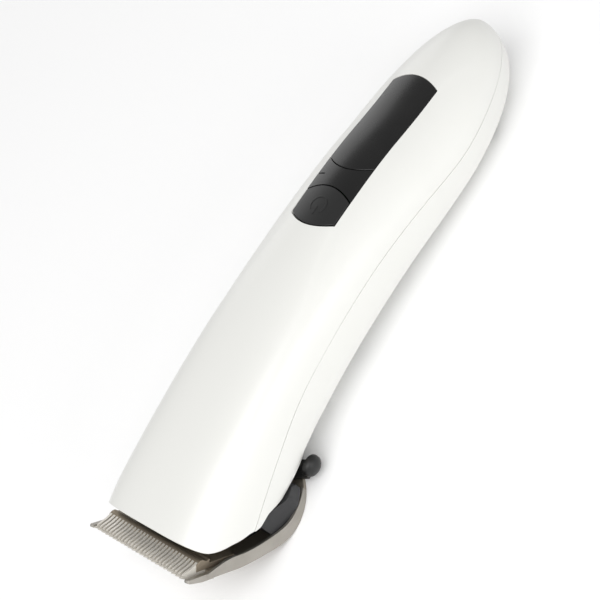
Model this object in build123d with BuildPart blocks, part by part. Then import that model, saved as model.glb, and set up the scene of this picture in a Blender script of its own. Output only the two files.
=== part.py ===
from build123d import *
import os
from math import cos, radians, sin

# Cordless animal hair clipper.  Millimetres, +Z up.
# Y runs from the tooth tips (station 0) to the tail end (station LENGTH).
# Stations are measured from the tooth tips, and the row frame's origin is under mid length.

# ------------------------------------------------------------------ driving dimensions
LENGTH = 180.0
WALL = 2.0
SEAM_GAP = 0.2
SEAM_LIP = 0.8
SEAM_LIP_REACH = 1.5
FIT_GAP = 0.1
RUN_GAP = 0.35
SHAFT_GAP = 0.05

# Housing cross-sections: station, half width, crown height, keel height, height of the widest line,
# power of the upper superellipse, power of the lower one.
HULL_SECTIONS = [
    (3.0, 21.3, 30.6, 5.6, 11.6, 4.0, 3.2),
    (14.0, 21.1, 33.1, 5.0, 13.8, 4.0, 3.2),
    (26.0, 20.3, 35.2, 4.0, 17.9, 3.7, 3.1),
    (40.0, 19.4, 36.7, 3.3, 21.5, 3.5, 3.1),
    (56.0, 18.5, 37.9, 4.1, 23.8, 3.2, 2.9),
    (72.0, 18.2, 38.5, 4.6, 24.8, 2.77, 2.8),
    (90.0, 18.2, 38.6, 4.1, 24.6, 2.3, 2.7),
    (108.0, 18.4, 37.8, 2.9, 23.3, 2.06, 2.6),
    (125.0, 18.8, 35.85, 1.2, 20.5, 1.96, 2.5),
    (141.0, 18.9, 32.7, 0.2, 17.7, 1.95, 2.4),
]
TAIL_STATIONS = [150.0, 158.0, 165.0, 171.0, 175.0, 177.8, 179.3, 179.9]
TAIL_WIDTH_START = 136.7
TAIL_WIDTH_POWER = 1.91
TAIL_HEIGHT_START = 146.6
TAIL_HEIGHT_POWER = 3.1
TAIL_CROWN_SLOPE = -0.15
TAIL_WAIST_SLOPE = -0.09
NOSE_INSIDE = 9.2

# Seam between the shells in side view.
SEAM_POINTS = [
    (2.0, 10.6), (19.5, 15.2), (37.5, 20.2), (54.5, 24.0), (74.0, 25.4), (100.0, 24.6),
    (118.5, 21.9), (136.5, 18.3), (155.5, 17.0), (181.0, 15.6),
]

# Blade bay cut out of the head, in side view.
BAY_POINTS = [
    (7.1, 31.4), (7.5, 30.0), (7.9, 28.6), (8.3, 27.4), (8.9, 26.1), (9.9, 24.8), (11.1, 23.5),
    (12.5, 22.2), (14.1, 20.9), (15.6, 19.4), (17.2, 18.0), (19.1, 16.7), (20.7, 15.1), (22.4, 13.8),
    (26.3, 13.4), (28.6, 12.0), (32.0, 9.6), (36.4, 8.6), (41.0, 2.0),
]
LIP_STATION = 7.1

# Blade set.
BLADE_ANGLE = 52.0
TIP_HEIGHT = 28.5
COMB_WIDTH = 40.7
COMB_THICK = 1.5
COMB_OUTER = [
    (0.0, 28.3), (0.5, 26.2), (2.0, 22.9), (4.8, 19.5), (7.4, 16.2), (10.4, 12.4), (13.9, 8.8),
    (17.7, 5.4), (21.6, 2.2), (25.3, 0.45), (28.9, 0.0),
]
COMB_INNER = [(28.9, 1.5), (24.5, 2.3), (20.5, 4.6), (16.5, 8.0), (12.3, 12.76), (0.0, 28.5)]
COMB_REAR_CENTRE = 27.0
COMB_REAR_REACH = 19.0
COMB_PITCH = 1.6
COMB_SLOTS = 24
COMB_SLOT_WIDTH = 0.75
COMB_SLOT_LENGTH = 8.6
COMB_RIM_THICK = 0.9
RIM_TOP = [
    (5.0, 22.1), (8.6, 19.8), (11.6, 17.2), (14.4, 13.8), (17.3, 11.0), (20.7, 8.2), (24.2, 5.8),
    (27.0, 4.4), (30.0, 3.6), (34.0, 3.2), (36.5, 1.5),
]
CUTTER_HALF_WIDTH = 18.2
CUTTER_PITCH = 1.3
CUTTER_SLOTS = 27
CUTTER_SLOT_WIDTH = 0.6
CUTTER_SLOT_END = 6.5
CUTTER_PROFILE = [
    (0.9, 0.1), (2.0, 0.6), (3.9, 1.3), (5.2, 2.3), (6.6, 3.2), (7.2, 3.2), (8.2, 2.6), (9.4, 1.7),
    (18.6, 1.7), (18.6, 0.1),
]
STROKE = 0.9

# Drive.
MOTOR_AXIS = 20.0
MOTOR_FRONT = 48.0
MOTOR_LENGTH = 30.0
MOTOR_RADIUS = 11.0
SHAFT_RADIUS = 1.0
CAM_FRONT = 28.8
CAM_LENGTH = 5.0
CAM_RADIUS = 4.5
DRIVE_PIN_RADIUS = 1.0
DRIVE_PIN_FRONT = 19.6

# Blade hinge and adjusting lever.
HINGE_STATION = 46.0
HINGE_HEIGHT = 7.5
HINGE_PIN_RADIUS = 1.25
KNUCKLE_RADIUS = 2.6
NOTCH_HALF = 10.0
CHANNEL_HALF = 8.0
LEVER_STATION = 37.0
LEVER_CRANK = 4.09
LEVER_CRANK_ANGLE = -10.0

# Top panel zones: half width, then corner and apex stations of each arc.
PANEL_HALF = 8.35
PANEL_THICK = 1.7
BUTTON_FRONT = (100.5, 98.0)
BUTTON_REAR = (108.4, 110.9)
MIDDLE_REAR = (120.0, 117.3)
PANEL_REAR = (150.0, 152.5)

# Cells, board, charging socket.
CELL_RADIUS = 9.2
CELL_LENGTH = 65.0
CELL_FRONT = 84.0
CELL_AXIS = 16.4
BOARD_FRONT = 96.0
BOARD_LENGTH = 38.0
BOARD_WIDTH = 15.0
BOARD_BASE = 26.8
BOARD_THICK = 1.2
SOCKET_AXIS = 13.0
WELL_RADIUS = 3.9
WELL_FRONT = 173.6
WELL_LENGTH = 4.2
WELL_WALL = 1.2


def at(station):
    """Row frame Y of a station."""
    return station - LENGTH / 2


def side_points(pairs):
    """Station and height pairs as points of the side plane (Y, Z)."""
    return [(at(s), z) for s, z in pairs]


def along(run, lift):
    """Station and height of a point given along the blade plane and off it."""
    slope = radians(BLADE_ANGLE)
    return (run * cos(slope) + lift * sin(slope), TIP_HEIGHT - run * sin(slope) + lift * cos(slope))


def hull_values(station, inset):
    """Half width, crown, keel, waist and powers of the housing at a tail station."""
    _, width, crown, keel, waist, up, low = HULL_SECTIONS[-1]
    past = station - HULL_SECTIONS[-1][0]
    crown += TAIL_CROWN_SLOPE * past
    waist += TAIL_WAIST_SLOPE * past
    keel = 0.0
    end = LENGTH - inset
    across = max(0.0, (station - TAIL_WIDTH_START) / (end - TAIL_WIDTH_START))
    upright = max(0.0, (station - TAIL_HEIGHT_START) / (end - TAIL_HEIGHT_START))
    narrow = (1 - across ** TAIL_WIDTH_POWER) ** (1 / TAIL_WIDTH_POWER)
    lower = (1 - upright ** TAIL_HEIGHT_POWER) ** (1 / TAIL_HEIGHT_POWER)
    return (
        (width - inset) * narrow,
        waist + (crown - inset - waist) * lower,
        waist - (waist - keel - inset) * lower,
        waist,
        up,
        low,
    )


def quarter(corner, side, power):
    """One quarter of a superellipse as a Bezier curve from the side point to the crown point."""
    pull = (8 * 2 ** (-1 / power) - 4) / 3
    (side_x, side_z) = side
    (crown_x, crown_z) = corner
    Bezier(
        (side_x, side_z),
        (side_x, side_z + (crown_z - side_z) * pull),
        (crown_x + (side_x - crown_x) * pull, crown_z),
        (crown_x, crown_z),
    )


def hull(inset, start):
    """Housing solid, shrunk by inset and starting at a station."""
    rings = []
    for station, width, crown, keel, waist, up, low in HULL_SECTIONS:
        if station >= start:
            rings.append((station, width - inset, crown - inset, keel + inset, waist, up, low))
    for station in TAIL_STATIONS:
        if inset == 0 or station < LENGTH - inset - 1:
            rings.append((station, *hull_values(station, inset)))
    with BuildPart() as body:
        for station, width, crown, keel, waist, up, low in rings:
            with BuildSketch(Plane.XZ.offset(-at(station))):
                with BuildLine():
                    quarter((0, crown), (width, waist), up)
                    quarter((0, crown), (-width, waist), up)
                    quarter((0, keel), (-width, waist), low)
                    quarter((0, keel), (width, waist), low)
                make_face()
        loft()
    return body.part


def band(low_offset, high_offset):
    """Full-width slab that follows the seam between two height offsets."""
    with BuildPart() as slab:
        with BuildSketch(Plane.YZ):
            with BuildLine():
                low = [(at(s), z + low_offset) for s, z in SEAM_POINTS]
                high = [(at(s), z + high_offset) for s, z in SEAM_POINTS]
                Spline(*low)
                Spline(*high)
                Line(low[0], high[0])
                Line(low[-1], high[-1])
            make_face()
        extrude(amount=COMB_WIDTH, both=True)
    return slab.part


def bay_solid(reach):
    """Everything ahead of and below the bay edge, across the given half width."""
    with BuildPart() as bay:
        with BuildSketch(Plane.YZ):
            with BuildLine():
                Polyline(
                    *side_points(BAY_POINTS),
                    (at(41.0), -5.0),
                    (at(-5.0), -5.0),
                    (at(-5.0), 40.0),
                    (at(LIP_STATION), 40.0),
                    side_points(BAY_POINTS)[0],
                )
            make_face()
        extrude(amount=reach, both=True)
    return bay.part


def zone(front, rear, half):
    """Prism over one zone of the top panel, each end given as its corner and apex stations."""
    with BuildPart() as prism:
        with BuildSketch(Plane.XY.offset(MOTOR_AXIS)):
            with BuildLine():
                ThreePointArc((-half, at(front[0])), (0, at(front[1])), (half, at(front[0])))
                Line((half, at(front[0])), (half, at(rear[0])))
                ThreePointArc((half, at(rear[0])), (0, at(rear[1])), (-half, at(rear[0])))
                Line((-half, at(rear[0])), (-half, at(front[0])))
            make_face()
        extrude(amount=MOTOR_AXIS)
    return prism.part


def shifted(pair, amount):
    """A corner and apex pair moved along the body."""
    return (pair[0] + amount, pair[1] + amount)


def bar(radius, front, length, x, z):
    """Round bar along Y from a front station, as a plain solid."""
    plane = Plane(origin=(x, at(front), z), x_dir=(1, 0, 0), z_dir=(0, 1, 0))
    return Solid.make_cylinder(radius, length, plane)


def post(radius, base, height, x, station):
    """Upright round post, as a plain solid."""
    return Solid.make_cylinder(radius, height, Plane(origin=(x, at(station), base)))


def block(low, high):
    """Box between two corners, each given as x, station and height."""
    size = [b - a for a, b in zip(low, high)]
    box = Solid.make_box(size[0], size[1], size[2], Plane(origin=(low[0], at(low[1]), low[2])))
    return box


BLADE_SLOPE = radians(BLADE_ANGLE)
BLADE_PLANE = Plane(
    origin=(0, at(0), TIP_HEIGHT),
    x_dir=(1, 0, 0),
    z_dir=(0, sin(BLADE_SLOPE), cos(BLADE_SLOPE)),
)

OUTER = hull(0.0, 0.0)
INNER = hull(WALL, 14.0)
LINER = hull(WALL + SEAM_LIP, 14.0)
PANEL_INNER = hull(PANEL_THICK, 14.0)
ABOVE_SEAM = band(SEAM_GAP / 2, 60.0)
BELOW_SEAM = band(-60.0, -SEAM_GAP / 2)
BAY = bay_solid(COMB_WIDTH)

# The open nose behind the lip: the inner hollow carried forward to just behind the lip.
with BuildPart() as nose_room:
    with BuildSketch(Plane.XZ.offset(-at(NOSE_INSIDE))):
        with Locations((0, 21.5)):
            RectangleRounded(36.4, 18.0, 4.0)
    extrude(amount=-6.0)

# Screw bosses that tie the shells together inside: x, station.
BOSSES = [(8.0, 81.0), (-8.0, 81.0), (8.5, 155.5), (-8.5, 155.5)]
BOSS_RADIUS = 2.2
BOSS_TOP = 29.0

# ------------------------------------------------------------------ housing shells
with BuildPart() as top_shell:
    add(OUTER)
    add(INNER, mode=Mode.SUBTRACT)
    add(nose_room.part, mode=Mode.SUBTRACT)
    for boss_x, boss_station in BOSSES:
        add(post(BOSS_RADIUS, MOTOR_AXIS, 20.0, boss_x, boss_station).intersect(OUTER))
    add(ABOVE_SEAM, mode=Mode.INTERSECT)
    add(BAY, mode=Mode.SUBTRACT)
    add(zone(BUTTON_FRONT, PANEL_REAR, PANEL_HALF + FIT_GAP), mode=Mode.SUBTRACT)
    for boss_x, boss_station in BOSSES:
        add(post(0.9, 0.0, BOSS_TOP - 1.5, boss_x, boss_station), mode=Mode.SUBTRACT)
    add(bar(WELL_RADIUS + WELL_WALL, WELL_FRONT, 10.0, 0, SOCKET_AXIS), mode=Mode.SUBTRACT)
top_shell.part.label = "top_shell"

with BuildPart() as seam_tongue:
    add(INNER)
    add(LINER, mode=Mode.SUBTRACT)
    add(band(-SEAM_LIP_REACH, SEAM_LIP_REACH), mode=Mode.INTERSECT)
    add(block((-30, 44, 0), (30, 172, 40)), mode=Mode.INTERSECT)
    for boss_x, boss_station in BOSSES:
        add(post(BOSS_RADIUS + RUN_GAP, 0, 40, boss_x, boss_station), mode=Mode.SUBTRACT)

# Room for the lever's grip: a pocket swept about the lever pivot.
with BuildPart() as lever_recess:
    with BuildSketch(Plane.XY.offset(-1.0)):
        with BuildLine():
            ThreePointArc((16.87, at(38.0)), (14.6, at(45.45)), (9.93, at(50.67)))
            Line((9.93, at(50.67)), (14.2, at(56.6)))
            ThreePointArc((14.2, at(56.6)), (23.0, at(50.0)), (28.0, at(38.0)))
            Line((28.0, at(38.0)), (16.87, at(38.0)))
        make_face()
    extrude(amount=11.6)

with BuildPart() as bottom_shell:
    add(OUTER)
    add(INNER, mode=Mode.SUBTRACT)
    add(nose_room.part, mode=Mode.SUBTRACT)
    add(block((8.7, 39.5, 0), (19.5, 62.0, 11.9)).intersect(OUTER))
    add(BELOW_SEAM, mode=Mode.INTERSECT)
    add(seam_tongue.part)
    for side in (-1, 1):
        boss_centre = (side * (NOTCH_HALF + 1.2) - 1.2, at(HINGE_STATION), HINGE_HEIGHT)
        boss_plane = Plane(origin=boss_centre, z_dir=(1, 0, 0))
        add(Solid.make_cylinder(3.2, 2.4, boss_plane).intersect(OUTER))
    for boss_x, boss_station in BOSSES:
        add(post(BOSS_RADIUS, 0.0, 19.0 - 5.0 * (boss_station > 100), boss_x, boss_station).intersect(OUTER))
    add(BAY, mode=Mode.SUBTRACT)
    add(block((-NOTCH_HALF, 36, -1), (NOTCH_HALF, 50.0, 12.9)), mode=Mode.SUBTRACT)
    add(lever_recess.part, mode=Mode.SUBTRACT)
    pin_plane = Plane(origin=(-NOTCH_HALF - 2.2, at(HINGE_STATION), HINGE_HEIGHT), z_dir=(1, 0, 0))
    add(Solid.make_cylinder(HINGE_PIN_RADIUS, 2 * NOTCH_HALF + 4.4, pin_plane), mode=Mode.SUBTRACT)
    for boss_x, boss_station in BOSSES:
        add(post(1.1, -1.0, 30.0, boss_x, boss_station), mode=Mode.SUBTRACT)
        add(post(2.0, -1.0, 8.0 - 1.2 * (boss_station > 100), boss_x, boss_station), mode=Mode.SUBTRACT)
    add(bar(WELL_RADIUS + WELL_WALL, WELL_FRONT, 10.0, 0, SOCKET_AXIS), mode=Mode.SUBTRACT)
bottom_shell.part.label = "bottom_shell"

# ------------------------------------------------------------------ top panel and button
with BuildPart() as power_button:
    add(OUTER)
    add(PANEL_INNER, mode=Mode.SUBTRACT)
    add(zone(shifted(BUTTON_FRONT, RUN_GAP), shifted(BUTTON_REAR, -RUN_GAP / 2), PANEL_HALF - RUN_GAP),
        mode=Mode.INTERSECT)
    add(post(2.0, 30.3, 6.9, 0, 104.4))
power_button.part.label = "power_button"

with BuildPart() as middle_panel:
    add(OUTER)
    add(PANEL_INNER, mode=Mode.SUBTRACT)
    add(zone(shifted(BUTTON_REAR, RUN_GAP / 2), shifted(MIDDLE_REAR, -FIT_GAP), PANEL_HALF),
        mode=Mode.INTERSECT)
    add(block((-7.9, 113.8, 25), (-5.3, 114.4, 45)), mode=Mode.SUBTRACT)
middle_panel.part.label = "middle_panel"

with BuildPart() as upper_panel:
    add(OUTER)
    add(PANEL_INNER, mode=Mode.SUBTRACT)
    add(zone(shifted(MIDDLE_REAR, FIT_GAP), shifted(PANEL_REAR, -FIT_GAP), PANEL_HALF), mode=Mode.INTERSECT)
upper_panel.part.label = "upper_panel"

with BuildPart() as indicator_light:
    add(OUTER)
    add(PANEL_INNER, mode=Mode.SUBTRACT)
    add(block((-7.85, 113.85, 25), (-5.35, 114.35, 45)), mode=Mode.INTERSECT)
indicator_light.part.label = "indicator_light"

# ------------------------------------------------------------------ electronics
with BuildPart() as circuit_board:
    add(block((-BOARD_WIDTH / 2, BOARD_FRONT, BOARD_BASE),
              (BOARD_WIDTH / 2, BOARD_FRONT + BOARD_LENGTH, BOARD_BASE + BOARD_THICK)))
    for hole_station in (BOARD_FRONT + 2.5, BOARD_FRONT + BOARD_LENGTH - 2.5):
        add(post(1.1, BOARD_BASE - 1, 4, 0, hole_station), mode=Mode.SUBTRACT)
circuit_board.part.label = "circuit_board"

BOARD_TOP = BOARD_BASE + BOARD_THICK
with BuildPart() as tact_switch:
    add(block((-3, 101.4, BOARD_TOP), (3, 107.4, BOARD_TOP + 1.0)))
    add(post(1.6, BOARD_TOP + 1.0, 0.55, 0, 104.4))
tact_switch.part.label = "tact_switch"

with BuildPart() as indicator_led:
    add(block((-7.4, 113.4, BOARD_TOP), (-5.8, 115.0, BOARD_TOP + 0.8)))
indicator_led.part.label = "indicator_led"

with BuildPart() as board_chip:
    add(block((-2.5, 114.0, BOARD_TOP), (2.5, 119.0, BOARD_TOP + 1.2)))
    for chip_leg in range(4):
        leg_station = 114.4 + chip_leg * 1.27
        add(block((-3.4, leg_station, BOARD_TOP), (3.4, leg_station + 0.4, BOARD_TOP + 0.3)))
board_chip.part.label = "board_chip"

with BuildPart() as battery_cell:
    add(bar(CELL_RADIUS, CELL_FRONT, CELL_LENGTH, 0, CELL_AXIS))
    add(bar(3.0, CELL_FRONT - 0.8, 1.0, 0, CELL_AXIS))
battery_cell.part.label = "battery_cell"

with BuildPart() as battery_cradle:
    for rib_station in (91.0, 115.0, 139.0):
        add(block((-13.0, rib_station, 2.0), (13.0, rib_station + 3.0, CELL_AXIS)).intersect(INNER))
    add(block((-2.0, 91.0, 5.0), (2.0, 142.0, 7.4)).intersect(INNER))
    add(bar(CELL_RADIUS, CELL_FRONT, CELL_LENGTH, 0, CELL_AXIS), mode=Mode.SUBTRACT)
battery_cradle.part.label = "battery_cradle"

with BuildPart() as battery_tabs:
    add(block((-3, CELL_FRONT - 1.2, CELL_AXIS - 3), (3, CELL_FRONT - 0.8, CELL_AXIS + 8)))
    cell_back = CELL_FRONT + CELL_LENGTH
    add(block((-3, cell_back, CELL_AXIS - 3), (3, cell_back + 0.4, CELL_AXIS + 8)))
battery_tabs.part.label = "battery_tabs"

with BuildPart() as motor_leads:
    for lead_x in (-4.0, 4.0):
        add(bar(0.7, MOTOR_FRONT + MOTOR_LENGTH + 2.4, 14.5, lead_x, 28.4))
motor_leads.part.label = "motor_leads"

# ------------------------------------------------------------------ charging socket
with BuildPart() as socket_ring:
    add(bar(WELL_RADIUS + WELL_WALL, WELL_FRONT, WELL_LENGTH, 0, SOCKET_AXIS))
    add(bar(WELL_RADIUS, WELL_FRONT - 1, WELL_LENGTH + 2, 0, SOCKET_AXIS), mode=Mode.SUBTRACT)
socket_ring.part.label = "socket_ring"

with BuildPart() as socket_body:
    add(bar(5.0, 161.5, WELL_FRONT - 161.5, 0, SOCKET_AXIS))
    add(bar(2.75, 164.5, 10.0, 0, SOCKET_AXIS), mode=Mode.SUBTRACT)
    add(bar(1.0, 160.0, 6.0, 0, SOCKET_AXIS), mode=Mode.SUBTRACT)
socket_body.part.label = "socket_body"

with BuildPart() as socket_pin:
    add(bar(1.0, 160.0, 12.6, 0, SOCKET_AXIS))
socket_pin.part.label = "socket_pin"

with BuildPart() as socket_contact:
    add(block((-1.5, 157.6, SOCKET_AXIS - 0.2), (1.5, 160.0, SOCKET_AXIS + 0.2)))
socket_contact.part.label = "socket_contact"

# ------------------------------------------------------------------ motor
MOTOR_BACK = MOTOR_FRONT + MOTOR_LENGTH
with BuildPart() as motor_can:
    add(bar(MOTOR_RADIUS, MOTOR_FRONT, MOTOR_LENGTH - 4, 0, MOTOR_AXIS))
    add(bar(MOTOR_RADIUS - 0.8, MOTOR_FRONT + 1, MOTOR_LENGTH, 0, MOTOR_AXIS), mode=Mode.SUBTRACT)
    add(bar(3.0, MOTOR_FRONT - 1, 4, 0, MOTOR_AXIS), mode=Mode.SUBTRACT)
motor_can.part.label = "motor_can"

with BuildPart() as motor_bush:
    add(bar(3.0, MOTOR_FRONT - 1.5, 3.5, 0, MOTOR_AXIS))
    add(bar(SHAFT_RADIUS + SHAFT_GAP, MOTOR_FRONT - 3, 8, 0, MOTOR_AXIS), mode=Mode.SUBTRACT)
motor_bush.part.label = "motor_bush"

with BuildPart() as motor_endcap:
    add(bar(MOTOR_RADIUS, MOTOR_BACK - 4, 2.6, 0, MOTOR_AXIS))
    add(bar(4.0, MOTOR_BACK - 1.4, 1.4, 0, MOTOR_AXIS))
    add(bar(SHAFT_RADIUS + SHAFT_GAP, MOTOR_BACK - 6, 5.2, 0, MOTOR_AXIS), mode=Mode.SUBTRACT)
motor_endcap.part.label = "motor_endcap"

with BuildPart() as motor_terminals:
    for lead_x in (-4.0, 4.0):
        add(block((lead_x - 1, MOTOR_BACK - 1.4, 27.3), (lead_x + 1, MOTOR_BACK + 2.4, 27.7)))
motor_terminals.part.label = "motor_terminals"

MOUNT_RIB = 3.0
with BuildPart() as motor_mount:
    for rib_station in (MOTOR_FRONT + 4, MOTOR_FRONT + 18):
        add(block((-20, rib_station, 5.0), (20, rib_station + MOUNT_RIB, 19.4)).intersect(INNER))
    add(block((-3, MOTOR_FRONT + 4, 5.0), (3, MOTOR_FRONT + 18, 8.6)).intersect(INNER))
    add(bar(MOTOR_RADIUS, MOTOR_FRONT - 5, MOTOR_LENGTH + 20, 0, MOTOR_AXIS), mode=Mode.SUBTRACT)
    add(block((8.5, 38.0, 4.0), (20.0, 70.0, 12.1)), mode=Mode.SUBTRACT)
motor_mount.part.label = "motor_mount"

with BuildPart() as motor_armature:
    add(bar(8.6, MOTOR_FRONT + 4, 17.0, 0, MOTOR_AXIS))
    add(bar(SHAFT_RADIUS, MOTOR_FRONT + 2, 30.0, 0, MOTOR_AXIS), mode=Mode.SUBTRACT)
motor_armature.part.label = "motor_armature"

with BuildPart() as motor_shaft:
    add(bar(SHAFT_RADIUS, CAM_FRONT + 0.6, MOTOR_BACK - 1.2 - CAM_FRONT - 0.6, 0, MOTOR_AXIS))
motor_shaft.part.label = "motor_shaft"

with BuildPart() as drive_cam:
    add(bar(CAM_RADIUS, CAM_FRONT, CAM_LENGTH, 0, MOTOR_AXIS))
    add(bar(2.6, CAM_FRONT + CAM_LENGTH, 3.0, 0, MOTOR_AXIS))
    add(bar(SHAFT_RADIUS, CAM_FRONT + 0.6, 20.0, 0, MOTOR_AXIS), mode=Mode.SUBTRACT)
    add(bar(DRIVE_PIN_RADIUS, CAM_FRONT - 1, 1.6, 0, MOTOR_AXIS + STROKE), mode=Mode.SUBTRACT)
drive_cam.part.label = "drive_cam"

with BuildPart() as drive_pin:
    add(bar(DRIVE_PIN_RADIUS, DRIVE_PIN_FRONT, CAM_FRONT + 0.6 - DRIVE_PIN_FRONT, 0, MOTOR_AXIS + STROKE))
drive_pin.part.label = "drive_pin"

# ------------------------------------------------------------------ comb blade (fixed teeth)
with BuildPart() as comb_plan:
    with BuildSketch(Plane.XY.offset(-1.0)):
        with BuildLine():
            half = COMB_WIDTH / 2
            guard_front = at(-0.1)
            guard_back = at(4.0)
            Line((-half, at(COMB_REAR_CENTRE)), (-half, guard_back))
            Spline(
                (-half, guard_back), (-half + 0.7, at(0.9)), (-half + 2.2, guard_front),
                tangents=[(0, -1), (1, 0)],
            )
            Line((-half + 2.2, guard_front), (half - 2.2, guard_front))
            Spline(
                (half - 2.2, guard_front), (half - 0.7, at(0.9)), (half, guard_back),
                tangents=[(1, 0), (0, 1)],
            )
            Line((half, guard_back), (half, at(COMB_REAR_CENTRE)))
            EllipticalCenterArc(
                (0, at(COMB_REAR_CENTRE)), half, COMB_REAR_REACH, start_angle=0, arc_size=180
            )
        make_face()
    extrude(amount=40.0)

SCREW_SPOTS = [(12.5, 30.0), (-12.5, 30.0)]
with BuildPart() as comb_blade:
    with BuildSketch(Plane.YZ):
        with BuildLine():
            Polyline(
                *side_points(COMB_OUTER),
                (at(47.0), 0.0),
                (at(47.0), COMB_THICK),
                *side_points(COMB_INNER),
                side_points(COMB_OUTER)[0],
            )
        make_face()
    extrude(amount=COMB_WIDTH / 2, both=True)
    for side in (-1, 1):
        rim_middle = side * (COMB_WIDTH - COMB_RIM_THICK) / 2
        with BuildSketch(Plane.YZ.offset(rim_middle)):
            with BuildLine():
                Polyline(
                    *side_points(RIM_TOP),
                    *side_points(COMB_OUTER[2:][::-1]),
                    side_points(RIM_TOP)[0],
                )
            make_face()
        extrude(amount=COMB_RIM_THICK / 2, both=True)
    add(comb_plan.part, mode=Mode.INTERSECT)
    first_slot = -(COMB_SLOTS - 1) / 2 * COMB_PITCH
    for slot in range(COMB_SLOTS):
        with BuildSketch(BLADE_PLANE.offset(-5.0)):
            with Locations((first_slot + slot * COMB_PITCH, (COMB_SLOT_LENGTH - 3.0) / 2)):
                SlotOverall(COMB_SLOT_LENGTH + 3.0, COMB_SLOT_WIDTH, rotation=90)
        extrude(amount=10.0, mode=Mode.SUBTRACT)
    for screw_x, screw_station in SCREW_SPOTS:
        head_plane = Plane(origin=(screw_x, at(screw_station), 0))
        add(Solid.make_cone(2.3, 1.1, 1.2, head_plane), mode=Mode.SUBTRACT)
        add(post(1.1, 0, 3, screw_x, screw_station), mode=Mode.SUBTRACT)
    add(post(1.5, -1, 4, 0, LEVER_STATION), mode=Mode.SUBTRACT)
comb_blade.part.label = "comb_blade"

# ------------------------------------------------------------------ moving cutter
with BuildPart() as cutter_blade:
    with BuildSketch(Plane.YZ):
        with BuildLine():
            cutter_side = [along(run, lift) for run, lift in CUTTER_PROFILE]
            Polyline(*side_points(cutter_side), side_points(cutter_side)[0])
        make_face()
    extrude(amount=CUTTER_HALF_WIDTH, both=True)
    first_slot = -(CUTTER_SLOTS - 1) / 2 * CUTTER_PITCH
    for slot in range(CUTTER_SLOTS):
        with BuildSketch(BLADE_PLANE.offset(-0.5)):
            with Locations((first_slot + slot * CUTTER_PITCH, CUTTER_SLOT_END / 2)):
                Rectangle(CUTTER_SLOT_WIDTH, CUTTER_SLOT_END)
        extrude(amount=6.0, mode=Mode.SUBTRACT)
cutter_blade.part.label = "cutter_blade"

with BuildPart() as drive_block:
    with BuildSketch(BLADE_PLANE.offset(1.7)):
        with Locations((0, 13.4)):
            RectangleRounded(14.0, 6.4, 1.0)
    extrude(amount=3.4)
    fork_side = [along(10.6, 4.6), (11.0, 24.6), (20.6, 24.6), (26.4, 24.4), (26.4, 16.0), along(16.6, 4.6)]
    with BuildSketch(Plane.YZ):
        with BuildLine():
            Polyline(*side_points(fork_side), side_points(fork_side)[0])
        make_face()
    extrude(amount=5.2, both=True)
    add(block((-3.2, 17.6, 17.6), (3.2, 30.0, 30.0)), mode=Mode.SUBTRACT)
drive_block.part.label = "drive_block"

# ------------------------------------------------------------------ adjusting carriage
TAIL_PLATE = 6.6
CARRIAGE_THICK = 1.5
with BuildPart() as adjust_carriage:
    with BuildSketch(Plane.YZ):
        with BuildLine():
            carriage_side = [
                along(9.8, 3.7), along(9.8, 2.1), along(22.0, 2.1), (21.5, TAIL_PLATE), (38.8, TAIL_PLATE),
                (38.8, TAIL_PLATE + CARRIAGE_THICK), (22.2, TAIL_PLATE + CARRIAGE_THICK), along(22.0, 3.7),
            ]
            Polyline(*side_points(carriage_side), side_points(carriage_side)[0])
        make_face()
    extrude(amount=CHANNEL_HALF - 0.5, both=True)
    with BuildSketch(BLADE_PLANE.offset(2.1)):
        with Locations((0, 14.4)):
            RectangleRounded(24.0, 9.2, 1.5)
    extrude(amount=1.6)
    with BuildSketch(BLADE_PLANE.offset(0.0)):
        with Locations((0, 13.4)):
            Rectangle(14.0 + 2 * STROKE + 0.8, 7.4)
    extrude(amount=10.0, mode=Mode.SUBTRACT)
    with BuildSketch(Plane.XY.offset(TAIL_PLATE - 1)):
        with Locations((4.0, at(LEVER_STATION - 0.71))):
            SlotOverall(6.4, 2 * (1.2 + RUN_GAP))
    extrude(amount=5.0, mode=Mode.SUBTRACT)
adjust_carriage.part.label = "adjust_carriage"

with BuildPart() as pressure_spring:
    with BuildSketch(BLADE_PLANE.offset(3.75)):
        for side in (-1, 1):
            with Locations((side * 10.2, 14.4)):
                Rectangle(3.0, 7.0)
    extrude(amount=0.5)
pressure_spring.part.label = "pressure_spring"

with BuildPart() as spring_rivets:
    with BuildSketch(BLADE_PLANE.offset(4.25)):
        with Locations((10.2, 14.4), (-10.2, 14.4)):
            Circle(1.1)
    extrude(amount=0.7)
spring_rivets.part.label = "spring_rivets"

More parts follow.
